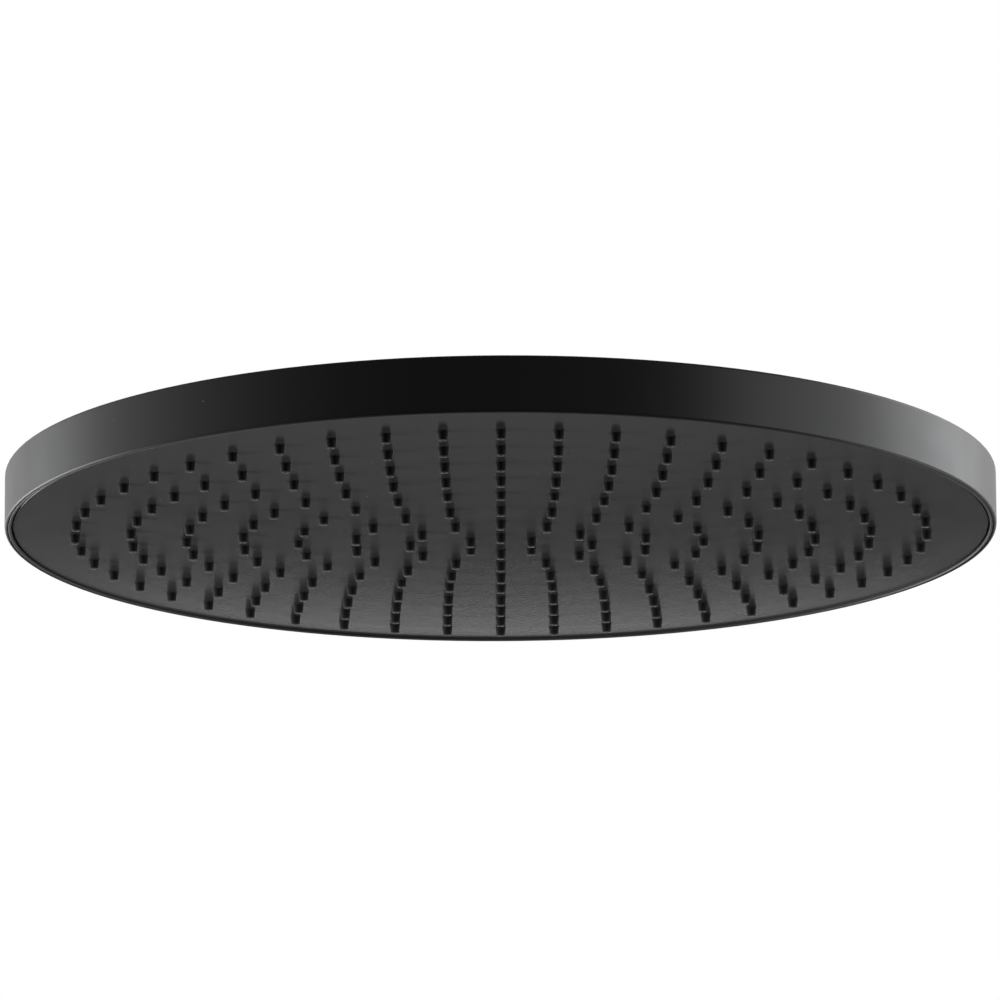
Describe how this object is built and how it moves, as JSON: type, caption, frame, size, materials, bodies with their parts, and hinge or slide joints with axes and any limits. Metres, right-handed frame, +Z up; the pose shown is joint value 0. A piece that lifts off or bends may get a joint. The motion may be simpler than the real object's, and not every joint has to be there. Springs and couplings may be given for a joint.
{
  "type": "rain shower head",
  "caption": "Round flat rain shower head with a crowned spray face of soft nozzles, hung from a ball joint with a threaded union inlet.",
  "frame": {"origin": "centre of the inlet's mouth, on the axis of the union nut", "axes": "+Z up along the inlet towards the shower arm; the head hangs below and sprays along -Z; -Y is the front, where one nozzle of each ring lies"},
  "size_m": [0.3, 0.3, 0.0547],
  "materials": {
    "painted_black": "satin black paint on moulded plastic",
    "tray_black": "moulded black plastic",
    "spray_face": "fine spark-eroded texture, dark grey",
    "silicone": "soft black silicone",
    "black_metal": "satin black coating",
    "brass": "turned",
    "seal_rubber": "moulded",
    "acetal": "natural white",
    "steel": "stainless"
  },
  "bodies": {
    "inlet": {"union_nut": "black_metal"},
    "stem": {"ball_stem": "black_metal", "union_clip": "steel", "flow_limiter": "acetal", "limiter_o_ring": "seal_rubber", "inlet_washer": "seal_rubber", "inlet_screen": "steel"},
    "swivel": {"slip_ring": "acetal", "ball_seat": "seal_rubber"},
    "head": {"ball_nut": "black_metal", "nut_washer": "seal_rubber", "ball_socket": "brass", "socket_o_ring": "seal_rubber", "socket_screws": "steel", "housing": "painted_black", "chamber_tray": "tray_black", "nozzle_mat": "silicone", "spray_plate": "spray_face", "rim_screws": "steel", "inner_screws": "steel"}
  },
  "joints": [
    {"name": "stem_spin", "type": "hinge", "parent": "inlet", "child": "stem", "pos_m": [0, 0, -0.02796], "axis": [0, 0, 1], "continuous": true},
    {"name": "head_tilt", "type": "hinge", "parent": "stem", "child": "swivel", "pos_m": [0, 0, -0.02796], "axis": [0, 1, 0], "range_deg": [-15, 15]},
    {"name": "head_spin", "type": "hinge", "parent": "swivel", "child": "head", "pos_m": [0, 0, -0.02796], "axis": [0, 0, 1], "continuous": true}
  ]
}
